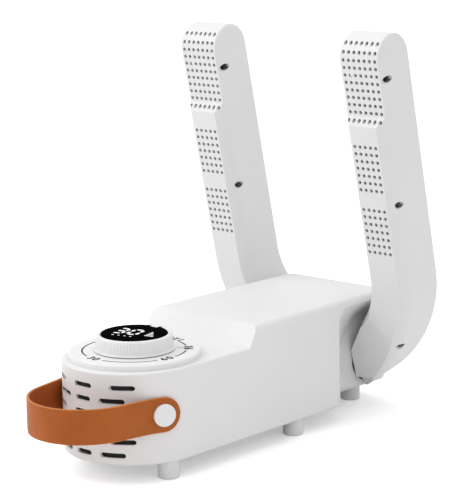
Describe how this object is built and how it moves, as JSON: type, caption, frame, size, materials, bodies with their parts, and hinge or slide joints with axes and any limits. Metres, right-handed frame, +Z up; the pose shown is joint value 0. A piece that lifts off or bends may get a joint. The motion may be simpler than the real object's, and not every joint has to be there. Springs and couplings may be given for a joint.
{
  "type": "boot dryer",
  "caption": "Folding electric boot dryer: low body with time dial and carrying strap at the front, hollow perforated arms hinged at the rear to stand up inside boots.",
  "frame": {"origin": "centre of the bounding box in plan, on the plane the feet stand on, arms up", "axes": "+Z up, -Y towards the dial and the strap, +X to the object's left as seen from its front"},
  "size_m": [0.2018, 0.3544, 0.3102],
  "materials": {
    "white_shell": "satin",
    "foot_plastic": "matte",
    "knob_plastic": "satin",
    "button_plastic": "satin",
    "display_gloss": "gloss",
    "black_plastic": "matte",
    "leather_strap": "satin",
    "steel": "brushed",
    "heater_aluminium": "brushed",
    "brass_pins": "polished",
    "rubber_washer": "matte",
    "circuit_board": "gloss",
    "filter_mesh": "woven"
  },
  "bodies": {
    "base": {"main_housing": "white_shell", "base_plate": "white_shell", "feet": "foot_plastic", "base_screws": "steel", "intake_filter": "filter_mesh", "dial_plate": "white_shell", "display_column": "black_plastic", "display_window": "display_gloss", "display_board": "circuit_board", "encoder_ring": "black_plastic", "dial_bracket": "black_plastic", "carry_strap": "leather_strap", "strap_buttons": "button_plastic", "strap_screws": "steel", "fan_frame": "black_plastic", "fan_motor": "black_plastic", "heater_frame": "black_plastic", "heater_core": "heater_aluminium", "thermal_cutout": "steel", "air_duct": "black_plastic", "control_board": "circuit_board", "power_relay": "black_plastic", "supply_capacitor": "black_plastic", "power_inlet": "black_plastic", "inlet_pins": "brass_pins", "right_hub_bush": "black_plastic", "left_hub_bush": "black_plastic"},
    "dial_knob": {"knob": "knob_plastic", "knob_clip": "black_plastic"},
    "fan_rotor": {"fan_impeller": "black_plastic", "fan_shaft": "steel"},
    "right_arm": {"right_arm_shell": "white_shell", "right_arm_back": "white_shell", "right_arm_screws": "steel", "right_arm_baffle": "black_plastic", "right_pivot_tube": "black_plastic", "right_retaining_ring": "steel", "right_friction_washer": "rubber_washer"},
    "left_arm": {"left_arm_shell": "white_shell", "left_arm_back": "white_shell", "left_arm_screws": "steel", "left_arm_baffle": "black_plastic", "left_pivot_tube": "black_plastic", "left_retaining_ring": "steel", "left_friction_washer": "rubber_washer"}
  },
  "joints": [
    {"name": "right_arm_fold", "type": "hinge", "parent": "base", "child": "right_arm", "pos_m": [0.0342, 0.151, 0.04], "axis": [1, 0, 0], "range_deg": [0, 78]},
    {"name": "left_arm_fold", "type": "hinge", "parent": "base", "child": "left_arm", "pos_m": [-0.0342, 0.151, 0.04], "axis": [1, 0, 0], "range_deg": [0, 78]},
    {"name": "knob_turn", "type": "hinge", "parent": "base", "child": "dial_knob", "pos_m": [0, -0.0838, 0.0927], "axis": [0, 0, 1], "range_deg": [-135, 135]},
    {"name": "fan_spin", "type": "hinge", "parent": "base", "child": "fan_rotor", "pos_m": [0, 0.03, 0.054], "axis": [0, 1, 0], "continuous": true}
  ]
}
